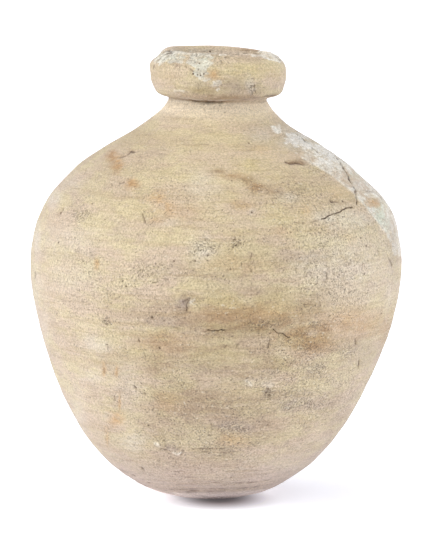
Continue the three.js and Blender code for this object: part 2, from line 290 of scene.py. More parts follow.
# Clay that shows through the plaster
BARE = [
    (349, 179, 15, 9, 0.55), (362, 188, 8, 6, 0.4), (304, 153, 8, 5, 0.45), (293, 149, 8, 5, 0.7),
    (374, 202, 7, 5, 0.9), (312, 160, 8, 4, 0.4), (182, 67, 12, 3, 0.4),
]

# How far a spot reaches, in its own half widths
SPOT_REACH = 1.6

# The restored shoulder: where its lower edge shows, and how it ends at the back, the top and the foot
FILL_EDGE = [
    (283, 143), (293, 152), (303, 158.5), (320, 168), (335, 177.4), (345, 186), (355, 194),
    (366, 207), (374, 218), (384, 230), (391, 244), (395, 262),
]
FILL_EDGE_STEP = 2
FILL_EDGE_FADE = (-0.6 * MM, 0.8 * MM)
FILL_BACK_BEARING = 128
FILL_BACK_FADE = (-2 * MM, 4 * MM)
FILL_BACK_FRAY = 3
FILL_TOP = RIM_FOOT - 34 * MM
FILL_TOP_BEARING = 75
FILL_TOP_FALL = 24 * MM
FILL_TOP_FADE = (-6 * MM, 4 * MM)
FILL_FOOT_RISE = 34 * MM
FILL_FOOT_FADE = (-2 * MM, 6 * MM)
FILL_SUNK = 0.25

# Turning marks near the foot, each given by how far down it shows under the middle of the jar
FOOT_RING_ACROSS = 211
FOOT_RINGS_DOWN = (471, 476, 482.5, 487, 490.5, 493)
FOOT_RING_DEPTH = 0.7
FOOT_RING_HALF_WIDTH = 1.3 * MM
FOOT_RING_SHARE = 0.5
# How dark the painted shade in the turning marks is
FOOT_RING_SHADE = 0.55

# Pits strewn over the outside, the same on each run
STREWN_PITS = 150
STREWN_FROM = 4 * MM
STREWN_TO = RIM_TOP - 8 * MM
STREWN_SEED = 7

# Each kind of fine mark: how noise of a size and a seed frays its sides, its half widths at full
# depth and at its end, its depth, how dark its painted hollow shade is and the least breaks leave of it.
# A flat kind keeps its width on the clay, the others in the photograph.
Mark = namedtuple("Mark", "fray size seed core edge depth dirt least flat", defaults=(0, 0, False))
MARKS = {
    "crack": Mark(fray=0.45, size=2, seed=1, core=0.1, edge=0.7, depth=1.5, dirt=1.1),
    "scratch": Mark(fray=0.5, size=3, seed=2, core=0.1, edge=1.2, depth=0.45, dirt=0.66),
    "gouge": Mark(fray=0.4, size=2.5, seed=3, core=0.1, edge=1.3, depth=1.0, dirt=0.87, least=0.75),
    "lip": Mark(fray=0.4, size=3, seed=4, core=0.1, edge=1.3, depth=-0.5),
    "pit": Mark(fray=0.4, size=1.5, seed=5, core=0.3, edge=1.4, depth=0.9, dirt=1.1, flat=True),
    "strewn": Mark(fray=0.6, size=9, seed=6, core=0.2, edge=1.3, depth=0.55, dirt=0.5, flat=True),
}
LINE_STEP = 0.35
CRACK_WANDER = 0.7
WANDER_SIZE = 2.6
WANDER_SEEDS = (41, 42)

# How near to a mark the facets are halved, again for each distance
MARK_REACHES = (2.8 * MM, 1.5 * MM)
CRACK_REACH = 1.0 * MM
FLAKE_CORNERS = 6

# Layers of noise: a size in millimetres, one number or one for each axis, a height and a seed
NOISE = {
    "throwing": [((500, 500, 13), 0.30, 11), ((300, 300, 5.5), 0.22, 12), ((70, 70, 50), 0.7, 13),
                 ((22, 22, 15), 0.25, 14), ((8, 8, 5), 0.10, 15)],
    "low throwing": [((16, 16, 12), 0.35, 28)],
    "spot edges": [((15, 15, 8), 0.35, 24), ((6, 6, 4), 0.25, 25)],
    "flake edges": [(4, 0.15, 8)],
    "plaster edges": [((5, 5, 4), 0.35, 9)],
    "plaster crust": [(3.5, 0.5, 18), (1.8, 0.3, 19)],
    "fill edges": [(12, 3, 31), (4, 1.5, 32), (45, 5, 33)],
    "fill surface": [(9, 0.35, 20)],
    "rough clay": [(2.2, 0.22, 21)],
    "ring waves": [(60, 0.8, 16)],
    "ring breaks": [(30, 0.6, 17)],
    "lip breaks": [(5, 0.35, 22)],
    "dirt breaks": [(5, 0.42, 23)],
    "under rim breaks": [(25, 0.4, 27)],
}
NOISE_VALUES = 4096
NOISE_OFFSET = 100
NOISE_SCATTER = np.array([73856093, 19349663, 83492791])

# Uneven throwing: its share on the inside, and where its small lumps near the foot end
THROWING_INSIDE = 0.35
LOW_THROWING_TOP = (90 * MM, 130 * MM)

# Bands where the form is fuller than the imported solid: the middle height, and in millimetres how
# far from it the band is full, how far it reaches and how much fuller it is
FULLER_BANDS = [
    (RIM_FOOT + 5 * MM, 0, 6, 1.5),
    (RIM_TOP - 12.5 * MM, 0, 9, 1.9),
    (NECK, 0, 20, 1.1),
    (TOE, 2, 8, 1.2),
]
RIGHT_BAND = (236 * MM, 12, 60, 1.5)
RIGHT_SIDE = (40 * MM, 150 * MM)

# The wall under the belly, and the lowest wall, which is fuller on the left and drawn in on the
# right: the heights where each starts, is full, begins to end and ends, and how much fuller it is
LOWER_WALL = (6 * MM, 22 * MM, 150 * MM, 195 * MM)
LOWER_WALL_FULLER = 1.3
LOWEST_WALL = (6 * MM, 26 * MM, 50 * MM, 80 * MM)
LOWEST_WALL_FULLER = 1.0
LOWEST_WALL_DRAWN_IN = 1.5
LEFT_TO_RIGHT = (-90 * MM, 60 * MM)

# The crest of the rim, fuller at the back on the left
CREST_RISE = (RIM_TOP - 10 * MM, RIM_TOP - 3 * MM)
CREST_BACK = (-12 * MM, 20 * MM)
CREST_RIGHT_END = (12 * MM, 54 * MM)
CREST_FULLER = 1.7

# The groove under the rim, and where its painted shade begins on the left
GROOVE_HALF_WIDTH = 1.5
GROOVE_DEPTH = 0.5
UNDER_RIM_SHADE_START = (-48 * MM, -20 * MM)

# The outside looks outwards or is the rim's top. The front looks at the camera.
OUTER_LOOK = (-0.35, -0.1)
OUTER_RIM = (RIM_TOP - 7 * MM, RIM_TOP - 3 * MM)
FRONT_LOOK = (0.0, 0.1)
LEAST_TURN = 0.3
FLAT_UNDERSIDE = (0.3 * MM, 5 * MM)

# A flake's share of its depth in the middle, how much that changes to the side, and the least
FLAKE_SHARES = (0.6, 0.4, 0.2)
FLAKE_EDGE = (0.75, 1.1)
# How dark the painted shade in a flake's hollow is
FLAKE_SHADE = 0.4

# Plaster, which stands up only on the rim
PLASTER_EDGE = (0.3, 0.55)
PLASTER_HEIGHT = 0.3
PLASTER_RIM_EDGE = (RIM_FOOT, RIM_FOOT + 2 * MM)

# What noise leaves on average of the painted shade in the marks, the painted highlights on the
# lips and the painted shade under the rim
HOLLOW_SHADE_SHARE = 0.72
LIP_SHARE = 0.6
UNDER_RIM_SHADE_SHARE = 0.75


# Noise and masks

def fade(value, start, end):
    """0 before start, 1 past end and smooth between."""
    part = np.clip((value - start) / (end - start), 0, 1)
    return part * part * (3 - 2 * part)


def between(value, start, full, past, end):
    """0 before start and after end, 1 from full to past and smooth between."""
    return fade(value, start, full) * (1 - fade(value, past, end))


def band(heights, middle, full, reach):
    """1 within full millimetres of the middle height, falling smoothly to 0 at its reach."""
    return 1 - fade(np.abs(heights - middle), full * MM, reach * MM)


def ripple(points, size, seed):
    """Smooth noise between -1 and 1 that swings about once in each size, the same on every run."""
    values = np.random.default_rng(seed).uniform(-1, 1, NOISE_VALUES)
    grid = points / (np.array(size) * MM) + NOISE_OFFSET
    cell = np.floor(grid).astype(np.int64)
    part = grid - cell
    part = part * part * (3 - 2 * part)
    total = np.zeros(len(points))
    for corner in np.ndindex(2, 2, 2):
        weight = np.prod(np.where(corner, part, 1 - part), axis=1)
        key = (cell + np.array(corner)) * NOISE_SCATTER
        total += weight * values[(key[:, 0] ^ key[:, 1] ^ key[:, 2]) % NOISE_VALUES]
    return total


def noise(name, points):
    """The sum of the named layers of noise."""
    return sum(height * ripple(points, size, seed) for size, height, seed in NOISE[name])


# Places on the surface

def on_surface(tree, x, y):
    """The point of the jar that shows at a pixel, or None."""
    across = (x - PHOTO_WIDTH / 2) / FOCAL_PIXELS
    upwards = (PHOTO_HEIGHT / 2 - y) / FOCAL_PIXELS
    return tree.ray_cast(EYE, (FORWARD + across * RIGHT + upwards * UP).normalized())[0]


def trail(tree, pixels, step=LINE_STEP, wander=0.0):
    """Points on the jar along a line of pixels, a step of a pixel apart, that wanders by pixels."""
    along = []
    for (x0, y0), (x1, y1) in zip(pixels, pixels[1:]):
        count = max(1, round(math.hypot(x1 - x0, y1 - y0) / step))
        along += [(x0 + (x1 - x0) * part / count, y0 + (y1 - y0) * part / count, 0)
                  for part in range(count + 1)]
    along = np.array(along, dtype=float)
    across, down = (along[:, axis] + wander * ripple(along * MM, WANDER_SIZE, seed)
                    for axis, seed in enumerate(WANDER_SEEDS))
    places = [on_surface(tree, x, y) for x, y in zip(across.tolist(), down.tolist())]
    return [place for place in places if place is not None]


def trails(tree, lines, wander=0.0):
    return [place for line in lines for place in trail(tree, line, wander=wander)]


def around_flakes(tree):
    """Places in a ring on each flake."""
    return [on_surface(tree, x + half_width * math.cos(turn), y + half_height * math.sin(turn))
            for x, y, half_width, half_height, _ in FLAKES for turn in range(FLAKE_CORNERS)]


def strewn_pits(surface):
    """Places for the pits that are strewn over the outside."""
    picks = np.random.default_rng(STREWN_SEED)
    places = [vertex.co.copy() for vertex in surface.verts
              if STREWN_FROM < vertex.co.z < STREWN_TO
              and vertex.normal.dot(Vector((vertex.co.x, vertex.co.y, 0)).normalized()) > 0]
    return [places[index] for index in picks.choice(len(places), STREWN_PITS, replace=False)]


def point_tree(places):
    tree = KDTree(len(places))
    for index, place in enumerate(places):
        tree.insert(place, index)
    tree.balance()
    return tree


def distance_to(places, points):
    """How far each of the points is from the nearest place."""
    tree = point_tree(places)
    return np.array([tree.find(point)[2] for point in points])


# The surface

def quad_cage(node):
    """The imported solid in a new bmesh, with shared corners and its triangles paired into quads."""
    cage = bmesh.new()
    cage.from_mesh(node.data)
    bmesh.ops.remove_doubles(cage, verts=cage.verts, dist=0.001 * MM)
    bmesh.ops.join_triangles(
        cage, faces=cage.faces, angle_face_threshold=math.pi, angle_shape_threshold=math.pi)
    return cage


def rounded(cage, levels):
    """A mesh of the cage rounded by subdivision."""
    mesh = bpy.data.meshes.new("cage")
    cage.to_mesh(mesh)
    holder = bpy.data.objects.new("cage", mesh)
    bpy.context.scene.collection.objects.link(holder)
    holder.modifiers.new("round", "SUBSURF").levels = levels
    shaped = holder.evaluated_get(bpy.context.evaluated_depsgraph_get())
    result = bpy.data.meshes.new_from_object(shaped)
    bpy.data.objects.remove(holder)
    bpy.data.meshes.remove(mesh)
    return result


def shows(face):
    """True on the outside, the rim and the top of the mouth, False deeper inside."""
    middle = face.calc_center_median()
    if middle.z > RIM_TOP - MOUTH_DEPTH_SEEN:
        return True
    outwards = Vector((middle.x, middle.y, 0)).normalized()
    on_floor_inside = face.normal.z > LOOKS_UP and middle.z < INNER_FLOOR_TOP
    return face.normal.dot(outwards) > LOOKS_INWARDS and not on_floor_inside


def split(surface, faces):
    """Halves every edge of the faces."""
    edges = list({edge for face in faces for edge in face.edges})
    bmesh.ops.subdivide_edges(surface, edges=edges, cuts=1, use_grid_fill=True)


def refine(surface, places, reach):
    """Splits the faces within reach of the places."""
    tree = point_tree(places)
    split(surface, [face for face in surface.faces
                    if tree.find(face.calc_center_median())[2] < reach])


def fine_surface(node):
    """The jar's rounded form, with facets half as long where it shows."""
    cage = quad_cage(node)
    coarse = rounded(cage, 1)
    fine = rounded(cage, 2)
    cage.free()
    surface = bmesh.new()
    surface.from_mesh(coarse)
    surface.normal_update()
    split(surface, [face for face in surface.faces if shows(face)])
    tree = point_tree([vertex.co for vertex in fine.vertices])
    for vertex in surface.verts:
        vertex.co = tree.find(vertex.co)[0]
    return surface


class Skin:
    """The vertices of a surface: where they are, where they look and where the photograph shows them."""

    def __init__(self, surface):
        surface.normal_update()
        self.points = np.array([vertex.co[:] for vertex in surface.verts])
        self.normals = np.array([vertex.normal[:] for vertex in surface.verts])
        self.x, self.y, self.z = self.points.T
        self.outer = self.outside()
        offset = self.points - np.array(EYE)
        depth = offset @ np.array(FORWARD)
        self.across = PHOTO_WIDTH / 2 + FOCAL_PIXELS * (offset @ np.array(RIGHT)) / depth
        self.down = PHOTO_HEIGHT / 2 - FOCAL_PIXELS * (offset @ np.array(UP)) / depth
        towards_eye = -offset / np.linalg.norm(offset, axis=1, keepdims=True)
        facing = np.sum(self.normals * towards_eye, axis=1)
        self.front = self.outer * fade(facing, *FRONT_LOOK)
        self.turned = np.clip(facing, LEAST_TURN, 1)
        self.ragged = 1 + self.noise("spot edges")

    def outside(self):
        """1 on the outside of the jar and over the top of the rim, 0 deeper inside."""
        flat = self.points * np.array((1, 1, 0))
        outwards = flat / np.maximum(np.linalg.norm(flat, axis=1, keepdims=True), MM)
        outer = fade(np.sum(self.normals * outwards, axis=1), *OUTER_LOOK)
        return np.maximum(outer, fade(self.z, *OUTER_RIM))

    def noise(self, name):
        return noise(name, self.points)

    def spots(self, spots):
        """How strongly oval spots, each given by pixels, cover the vertices that show there."""
        total = np.zeros(len(self.points))
        for x, y, half_width, half_height, strength in spots:
            reach = np.hypot((self.across - x) / half_width, (self.down - y) / half_height)
            total = np.maximum(total, strength * (1 - fade(reach * self.ragged, 0, SPOT_REACH)))
        return total * self.front

    def cover(self, places, mark):
        """1 at the places of a kind of mark, falling to 0 at its frayed edge."""
        away = distance_to(places, self.points) * (1 if mark.flat else self.turned)
        away *= 1 + mark.fray * ripple(self.points, mark.size, mark.seed)
        return 1 - fade(away, mark.core * MM, mark.edge * MM)

    def move(self, surface, relief):
        """Moves the surface out by its relief, apart from the flat underside."""
        relief = relief * MM * fade(self.z, *FLAT_UNDERSIDE)
        for vertex, place in zip(surface.verts, self.points + self.normals * relief[:, None]):
            vertex.co = place


# The relief

def swell(surface):
    """Gives the surface its broad relief: uneven throwing, and fuller places."""
    skin = Skin(surface)
    low = 1 - fade(skin.z, *LOW_THROWING_TOP)
    thrown = skin.noise("throwing") + skin.noise("low throwing") * low
    thrown *= THROWING_INSIDE + (1 - THROWING_INSIDE) * skin.outer

    lowest = LOWEST_WALL_FULLER - LOWEST_WALL_DRAWN_IN * fade(skin.x, *LEFT_TO_RIGHT)
    fuller = LOWER_WALL_FULLER * between(skin.z, *LOWER_WALL)
    fuller += lowest * between(skin.z, *LOWEST_WALL)
    for *heights, amount in FULLER_BANDS:
        fuller += amount * band(skin.z, *heights)
    *heights, amount = RIGHT_BAND
    fuller += amount * band(skin.z, *heights) * fade(skin.x, *RIGHT_SIDE)

    crest = fade(skin.z, *CREST_RISE) * fade(skin.y, *CREST_BACK)
    crest *= 1 - fade(skin.x, *CREST_RIGHT_END)
    skin.move(surface, thrown + fuller * skin.outer + CREST_FULLER * crest)


def flake_depth(skin):
    """How deep the flakes lie under the surface, deeper towards the right of each."""
    total = np.zeros(len(skin.points))
    edges = skin.noise("flake edges")
    middle, change, least = FLAKE_SHARES
    for x, y, half_width, half_height, depth in FLAKES:
        reach = np.hypot((skin.across - x) / half_width, (skin.down - y) / half_height) + edges
        share = np.clip(middle + change * (skin.across - x) / half_width, least, 1)
        total = np.maximum(total, depth * share * (1 - fade(reach, *FLAKE_EDGE)))
    return total * skin.front


def ring_cover(skin, heights):
    """How fully the turning marks near the foot cover each vertex."""
    total = np.zeros(len(skin.points))
    waves = MM * skin.noise("ring waves")
    for height in heights:
        ring = 1 - fade(np.abs(skin.z - height + waves), 0, FOOT_RING_HALF_WIDTH)
        ring *= FOOT_RING_SHARE + noise("ring breaks", skin.points + height)
        total = np.maximum(total, ring * skin.outer)
    return total


def fill_cover(skin, edge):
    """How fully the restored shoulder covers each vertex, beyond the places on its lower edge."""
    heights, bearings = zip(*sorted(
        (place.z, math.degrees(math.atan2(place.x, -place.y))) for place in edge))
    bearing = np.degrees(np.arctan2(skin.x, -skin.y))
    radius = np.hypot(skin.x, skin.y)
    past = np.radians(bearing - np.interp(skin.z, heights, bearings)) * radius
    to_back = np.radians(FILL_BACK_BEARING - bearing) * radius
    turn = np.clip((bearing - FILL_TOP_BEARING) / (FILL_BACK_BEARING - FILL_TOP_BEARING), 0, 1)
    foot = heights[0] + FILL_FOOT_RISE * turn ** 3
    top = FILL_TOP - FILL_TOP_FALL * turn ** 2
    fray = MM * skin.noise("fill edges")
    cover = fade(past, *FILL_EDGE_FADE) * fade(to_back + FILL_BACK_FRAY * fray, *FILL_BACK_FADE)
    cover *= fade(skin.z - foot + fray, *FILL_FOOT_FADE)
    cover *= 1 - fade(skin.z - top + fray, *FILL_TOP_FADE)
    return cover * skin.outer


def plaster_cover(skin, fill):
    """How fully the plaster covers each vertex, the restored shoulder with it."""
    plaster = fade(skin.spots(PLASTER) + skin.noise("plaster edges"), *PLASTER_EDGE)
    return np.maximum(plaster, fill) * (1 - skin.spots(BARE))


def hollow_shade_cover(skin, covers, flake, ring):
    """How dark the painted shade is in the hollows of each kind of mark, of the flakes and of the turning
    marks.
    """
    broken = HOLLOW_SHADE_SHARE + skin.noise("dirt breaks")
    dirt = [mark.dirt * covers[name] * np.maximum(broken, mark.least)
            for name, mark in MARKS.items()]
    dirt.append(FLAKE_SHADE * np.clip(flake, 0, 1) * broken)
    dirt.append(FOOT_RING_SHADE * ring * broken)
    return np.maximum.reduce(dirt)


def cut_marks(surface):
    """Cuts the fine relief and returns how strongly each mark or stain covers each vertex."""
    tree = BVHTree.FromBMesh(surface)
    places = {
        "crack": trails(tree, CRACKS, CRACK_WANDER),
        "scratch": trails(tree, SCRATCHES),
        "gouge": trails(tree, GOUGES),
        "lip": trails(tree, LIPS),
        "pit": [on_surface(tree, x, y) for x, y in PITS],
        "strewn": strewn_pits(surface),
    }
    ring_heights = [on_surface(tree, FOOT_RING_ACROSS, down).z for down in FOOT_RINGS_DOWN]
    fill_edge = trail(tree, FILL_EDGE, FILL_EDGE_STEP)
    every_place = sum(places.values(), around_flakes(tree))
    for reach in MARK_REACHES:
        refine(surface, every_place, reach)
    refine(surface, places["crack"], CRACK_REACH)

    skin = Skin(surface)
    covers = {name: skin.cover(places[name], mark) for name, mark in MARKS.items()}
    covers["strewn"] *= skin.outer
    flake = flake_depth(skin)
    ring = ring_cover(skin, ring_heights)
    fill = fill_cover(skin, fill_edge)
    plaster = plaster_cover(skin, fill)
    rough = skin.spots(ROUGH)
    groove = band(skin.z + RIM_SLOPE * skin.x, RIM_FOOT, 0, GROOVE_HALF_WIDTH) * skin.outer

    relief = -flake - FOOT_RING_DEPTH * ring - GROOVE_DEPTH * groove
    for name, mark in MARKS.items():
        relief -= mark.depth * covers[name]
    on_rim = fade(skin.z, *PLASTER_RIM_EDGE) * skin.outer
    relief += plaster * on_rim * (PLASTER_HEIGHT + skin.noise("plaster crust"))
    relief += fill * (skin.noise("fill surface") - FILL_SUNK)
    relief += rough * skin.noise("rough clay")
    skin.move(surface, relief)

    # Painted shade in the groove under the overhang of the rim
    under_rim_shade = groove * (UNDER_RIM_SHADE_SHARE + skin.noise("under rim breaks"))
    return {
        **{name: skin.spots(spots) for name, spots in STAINS.items()},
        # Painted shade in the hollows of the marks, the flakes and the turning marks
        "dark": hollow_shade_cover(skin, covers, flake, ring),
        # Painted highlights along the lips
        "light": covers["lip"] * (LIP_SHARE + skin.noise("lip breaks")),
        "rough": rough,
        "plaster": plaster,
        "inside": 1 - skin.outer,
        "under_rim": under_rim_shade * fade(skin.x, *UNDER_RIM_SHADE_START),
    }


# Materials

LIGHT_ON_THE_FRONT = 1.17


def seen(red, green, blue):
    """The linear colour that shows, in this light, as the numbers, 0 to 255, of a screen."""
    def linear(value):
        value /= 255
        return value / 12.92 if value <= 0.04045 else ((value + 0.055) / 1.055) ** 2.4
    return tuple(linear(value) / LIGHT_ON_THE_FRONT for value in (red, green, blue)) + (1,)


# The clay's own colours and that of its inside; a tint towards the foot, partly dust and partly
# painted light from the floor; painted light on the neck under the rim, on the foot's lowest edge
# and on the front of the toe
PINK_BUFF = seen(214, 193, 168)
STRAW = seen(217, 201, 164)
OCHRE_BAND = seen(196, 174, 140)
DULL_SMUDGE = seen(202, 182, 160)
LOW_DUST_AND_FLOOR_LIGHT = seen(204, 184, 171)
NECK_PAINTED_LIGHT = seen(250, 234, 208)
FOOT_PAINTED_LIGHT = (0.96, 0.83, 0.74, 1)
TOE_PAINTED_LIGHT = (0.96, 0.84, 0.76, 1)
INSIDE = seen(238, 223, 204)

# Stains in the order in which they lie on the clay, the grey and brown partly painted shade and
# the pale partly painted light: the colour, and how strong the strongest is
STAIN_COLOURS = {
    "yellow": (seen(212, 194, 146), 0.9),
    "grey": (seen(180, 162, 146), 1.0),
    "orange": (seen(208, 169, 120), 1.0),
    "brown": (seen(150, 120, 88), 1.0),
    "pale": (seen(232, 223, 206), 0.9),
}

# Plaster, and what its stains turn it to
PLASTER_WHITE = seen(251, 247, 236)
PLASTER_CREAM = seen(228, 218, 200)
PLASTER_STAINS = {
    "pale": seen(255, 253, 248),
    "green": seen(220, 226, 206),
    "grey": seen(190, 176, 156),
}

# Painted highlights on the lips, chalk, flecks, and painted shade under the rim and in the hollows
# of the marks
LIP_HIGHLIGHT = seen(246, 239, 222)
CHALK = seen(234, 222, 196)
FLECK = seen(136, 116, 92)
UNDER_RIM_SHADE = seen(140, 108, 76)
HOLLOW_SHADE = seen(92, 72, 52)

# Colours that the clay is multiplied by; the first darkens it where shade is painted
SHADE_TINT = (0.70, 0.65, 0.56, 1)
TURNING_TINT = (0.70, 0.67, 0.64, 1)
STREAK_TINT = (0.80, 0.76, 0.70, 1)
DARK_GRAIN = (0.60, 0.58, 0.55, 1)
LIGHT_GRAIN = (1.38, 1.38, 1.38, 1)
SHEEN_TINT = (0.84, 0.84, 1.0, 1)


class Graph:
    """Adds shader nodes to a material, a line for each."""

    def __init__(self, material, keep=False):
        material.use_nodes = True
        self.tree = material.node_tree
        if not keep:
            self.tree.nodes.clear()

    def add(self, kind, settings=(), **inputs):
        node = self.tree.nodes.new(kind)
        for name, value in dict(settings).items():
            setattr(node, name, value)
        for name, value in inputs.items():
            self.plug(node.inputs[name.replace("_", " ")], value)
        return node

    def plug(self, socket, value):
        if isinstance(value, bpy.types.NodeSocket):
            self.tree.links.new(value, socket)
        else:
            socket.default_value = value

    def noise(self, where, size, detail=2, rough=0.5):
        """Noise from 0 to 1 over cells of a size in millimetres, one number or one for each axis."""
        sizes = size if isinstance(size, tuple) else (size, size, size)
        scale = tuple(1 / (value * MM) for value in sizes)
        place = self.add("ShaderNodeMapping", Vector=where, Scale=scale)
        node = self.add(
            "ShaderNodeTexNoise", Vector=place.outputs[0], Scale=1.0, Detail=detail, Roughness=rough)
        return node.outputs["Fac"]

    def compute(self, kind, operation, values):
        node = self.add(kind, {"operation": operation})
        for socket, value in zip(node.inputs, values):
            self.plug(socket, value)
        return node

    def math(self, operation, *values):
        return self.compute("ShaderNodeMath", operation, values).outputs[0]

    def vector(self, operation, *values):
        output = "Value" if operation == "LENGTH" else "Vector"
        return self.compute("ShaderNodeVectorMath", operation, values).outputs[output]

    def distance(self, place, middle, stretch):
        """How far a place is from a middle, along axes that are stretched."""
        offset = self.vector("SUBTRACT", place, middle)
        return self.vector("LENGTH", self.vector("MULTIPLY", offset, stretch))

    def span(self, value, start, end, low=0.0, high=1.0):
        """Carries a value smoothly from low at start to high at end."""
        node = self.add("ShaderNodeMapRange", {"interpolation_type": "SMOOTHSTEP"})
        for socket, number in zip(node.inputs, (value, start, end, low, high)):
            self.plug(socket, number)
        return node.outputs[0]

    def mix(self, factor, first, second, blend="MIX"):
        node = self.add("ShaderNodeMix", {"data_type": "RGBA", "blend_type": blend})
        self.plug(node.inputs["Factor"], factor)
        self.plug(node.inputs[6], first)
        self.plug(node.inputs[7], second)
        return node.outputs[2]

    def mark(self, name):
        """The mask of that name, which the mesh carries."""
        return self.add("ShaderNodeAttribute", {"attribute_name": name}).outputs["Fac"]

    def bump(self, height, distance, below=None):
        node = self.add("ShaderNodeBump", Height=height, Distance=distance * MM)
        if below is not None:
            self.plug(node.inputs["Normal"], below)
        return node.outputs[0]


# Flecks and chalk are denser on rough clay and in clusters
ROUGH_FLECKS = 0.18
CLUSTERED_FLECKS = 0.16
CHALK_WITH_FLECKS = 0.7

# How much the turning lines vary around the jar
TURNING_VARIES = (0.06, 0.06, 0)

# Heights between which tints of the clay and the painted light on the neck and the foot's edge
# start and are full, with how far noise waves them
NEAR_FOOT = (52 * MM, 16 * MM)
LOW_CLAY_SPAN = (70 * MM, 10 * MM)
LOW_CLAY_WAVE = 30 * MM
FOOT_EDGE_SPAN = (13 * MM, 4 * MM)
FOOT_EDGE_WAVE = 12 * MM
NECK_LIGHT_BOTTOM = (RIM_FOOT - 23 * MM, RIM_FOOT - 5 * MM)
NECK_LIGHT_TOP = (RIM_FOOT + 1 * MM, RIM_FOOT - 2 * MM)

# The front of the toe, painted lighter by light thrown up from the floor
TOE_MIDDLE = (12 * MM, -52 * MM, 4 * MM)
TOE_STRETCH = (0.9, 0.9, 5.0)
TOE_SPAN = (58 * MM, 16 * MM)


def clay_noises(graph, where):
    """The noises that the finish shares, and the height."""
    flat = graph.vector("MULTIPLY", where, (1, 1, 0))
    radius = graph.add("ShaderNodeCombineXYZ", Z=graph.vector("LENGTH", flat)).outputs[0]
    around = graph.vector("MULTIPLY_ADD", flat, TURNING_VARIES, radius)
    height = graph.add("ShaderNodeSeparateXYZ", Vector=where).outputs["Z"]
    speck = graph.noise(where, 1.45, rough=0.6)
    cluster = graph.noise(where, (34, 34, 20), detail=3)
    rough = graph.math("MULTIPLY_ADD", graph.mark("rough"), ROUGH_FLECKS,
                       graph.math("MULTIPLY", cluster, CLUSTERED_FLECKS))
    return SimpleNamespace(
        where=where,
        height=height,
        near_foot=graph.span(height, *NEAR_FOOT),
        turned=graph.noise(around, 3.6, rough=0.6),
        patch=graph.noise(where, (46, 46, 17), detail=4, rough=0.6),
        band=graph.noise(where, (150, 150, 9), detail=3, rough=0.6),
        smudge=graph.noise(where, (13, 13, 6), detail=4, rough=0.6),
        streak=graph.noise(where, (26, 26, 1.5)),
        edge=graph.noise(where, (8, 8, 4), detail=5, rough=0.72),
        grain=graph.noise(where, 1.7, detail=3, rough=0.8),
        chalk=graph.math("ADD", graph.noise(where, (3.4, 3.4, 2.4)),
                         graph.math("MULTIPLY", rough, CHALK_WITH_FLECKS)),
        fleck=graph.math("ADD", speck, rough),
    )


def bare_clay(graph, noises):
    """Buff clay in patches, bands and smudges, with its painted shade and its stains."""
    clay = graph.mix(graph.span(noises.patch, 0.38, 0.62), PINK_BUFF, STRAW)
    clay = graph.mix(graph.span(noises.band, 0.48, 0.68, 0.0, 0.55), clay, OCHRE_BAND)
    clay = graph.mix(graph.span(noises.smudge, 0.50, 0.68, 0.0, 0.55), clay, DULL_SMUDGE)
    uneven = graph.span(noises.smudge, 0.3, 0.65, 0.7, 1.15)
    # Painted shade from the shade spots
    clay = graph.mix(graph.math("MULTIPLY", graph.mark("shade"), uneven), clay, SHADE_TINT, "MULTIPLY")
    for name, (colour, most) in STAIN_COLOURS.items():
        broken = graph.span(noises.edge, 0.30, 0.66, 0.3, most)
        clay = graph.mix(graph.math("MULTIPLY", graph.mark(name), broken), clay, colour)
    return clay


def waved(graph, noises, size):
    """The height, waved up and down by noise."""
    wave = graph.math("MULTIPLY_ADD", noises.smudge, size, -size / 2)
    return graph.math("ADD", noises.height, wave)


def with_foot_and_neck(graph, noises, clay):
    """The clay with a tint at the foot, painted light on the neck, the foot's edge and the toe, its own
    colour inside, and its turning lines.
    """
    # Towards the foot the clay is paler and pinker: partly dust, partly painted light from the floor
    low = waved(graph, noises, LOW_CLAY_WAVE)
    clay = graph.mix(graph.span(low, *LOW_CLAY_SPAN, 0.0, 0.75), clay, LOW_DUST_AND_FLOOR_LIGHT)
    # Painted light on the neck, where the shade of the rim falls
    on_neck = graph.math("MULTIPLY", graph.span(noises.height, *NECK_LIGHT_BOTTOM),
                         graph.span(noises.height, *NECK_LIGHT_TOP))
    clay = graph.mix(graph.math("MULTIPLY", on_neck, 0.8), clay, NECK_PAINTED_LIGHT)
    lines = graph.math("MULTIPLY", noises.near_foot, graph.span(noises.turned, 0.50, 0.68, 0.0, 0.5))
    clay = graph.mix(lines, clay, TURNING_TINT, "MULTIPLY")
    # Painted light thrown up from the floor, on the foot's lowest edge and the front of the toe
    lowest = waved(graph, noises, FOOT_EDGE_WAVE)
    clay = graph.mix(graph.span(lowest, *FOOT_EDGE_SPAN, 0.0, 0.9), clay, FOOT_PAINTED_LIGHT)
    from_toe = graph.distance(noises.where, TOE_MIDDLE, TOE_STRETCH)
    clay = graph.mix(graph.span(from_toe, *TOE_SPAN, 0.0, 0.8), clay, TOE_PAINTED_LIGHT)
    return graph.mix(graph.mark("inside"), clay, INSIDE)


def with_plaster(graph, noises, clay):
    """The clay under its plaster, with painted highlights on the lips of both."""
    white = graph.mix(graph.span(noises.smudge, 0.4, 0.66), PLASTER_WHITE, PLASTER_CREAM)
    for name, colour in PLASTER_STAINS.items():
        white = graph.mix(graph.mark(name), white, colour)
    torn = graph.math("MULTIPLY_ADD", noises.edge, 2.4, -1.4)
    plaster = graph.math("ADD", graph.mark("plaster"), torn)
    clay = graph.mix(graph.span(plaster, 0.25, 0.95, 0.0, 0.9), clay, white)
    return graph.mix(graph.mark("light"), clay, LIP_HIGHLIGHT)


